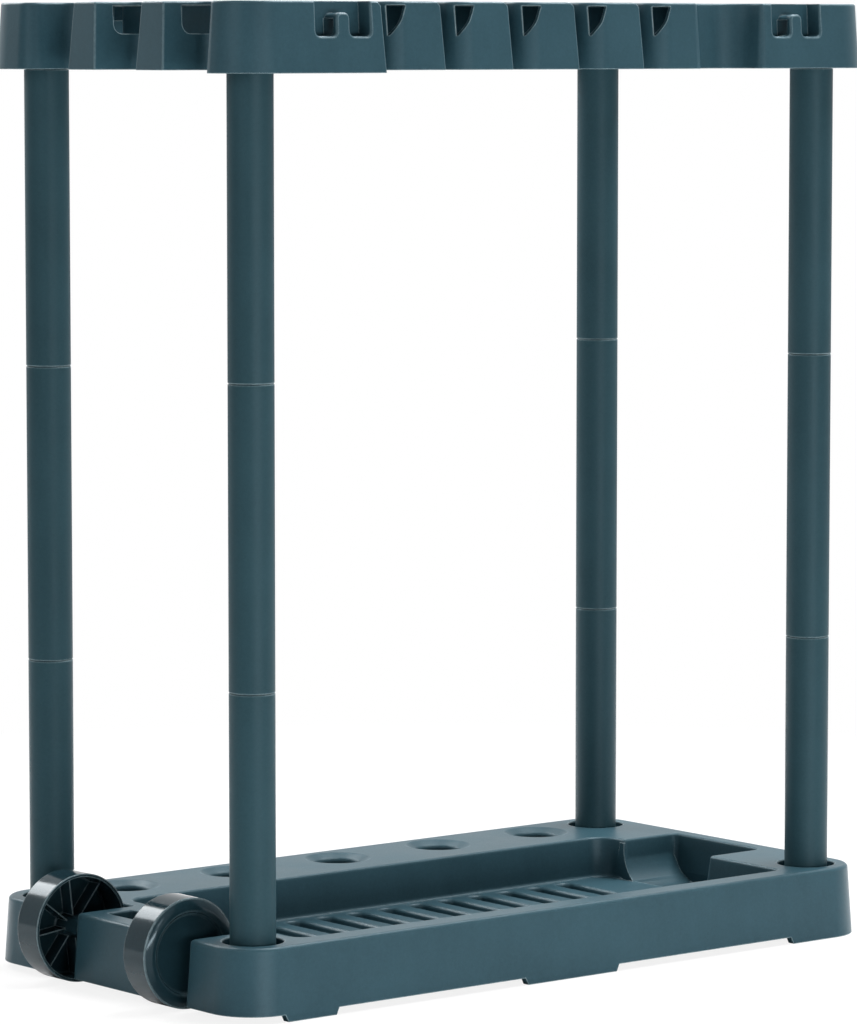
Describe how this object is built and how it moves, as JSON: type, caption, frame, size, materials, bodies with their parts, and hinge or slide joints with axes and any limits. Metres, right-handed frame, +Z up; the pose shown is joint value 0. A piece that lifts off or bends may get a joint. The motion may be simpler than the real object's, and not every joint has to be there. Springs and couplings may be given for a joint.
{
  "type": "freestanding garden tool rack",
  "caption": "Wheeled garden tool rack: a ribbed tray with cups, tubular posts, and a notched top rack that holds the handles of long tools upright.",
  "frame": {"origin": "on the floor, under the middle of the part's bounding box", "axes": "+X along the long side towards the end without wheels, +Y towards the back with the cups, +Z up"},
  "size_m": [0.7272, 0.3672, 0.8197],
  "materials": {
    "moulding": "satin, fine grain",
    "tube": "satin, fine grain",
    "wheel": "semi-gloss",
    "steel": "drawn rod"
  },
  "bodies": {
    "frame": {"base_tray": "moulding", "post_front_left_lower": "tube", "post_front_left_middle": "tube", "post_front_left_upper": "tube", "post_back_left_lower": "tube", "post_back_left_middle": "tube", "post_back_left_upper": "tube", "post_back_right_lower": "tube", "post_back_right_middle": "tube", "post_back_right_upper": "tube", "post_front_right_lower": "tube", "post_front_right_middle": "tube", "post_front_right_upper": "tube", "top_rack": "moulding", "axle_rod": "steel"},
    "front_wheel": {"wheel_front": "wheel"},
    "back_wheel": {"wheel_back": "wheel"}
  },
  "joints": [
    {"name": "front_wheel_spin", "type": "hinge", "parent": "frame", "child": "front_wheel", "pos_m": [-0.31775, -0.0773, 0.0464], "axis": [0, 1, 0], "continuous": true},
    {"name": "back_wheel_spin", "type": "hinge", "parent": "frame", "child": "back_wheel", "pos_m": [-0.31775, 0.0773, 0.0464], "axis": [0, 1, 0], "continuous": true}
  ]
}
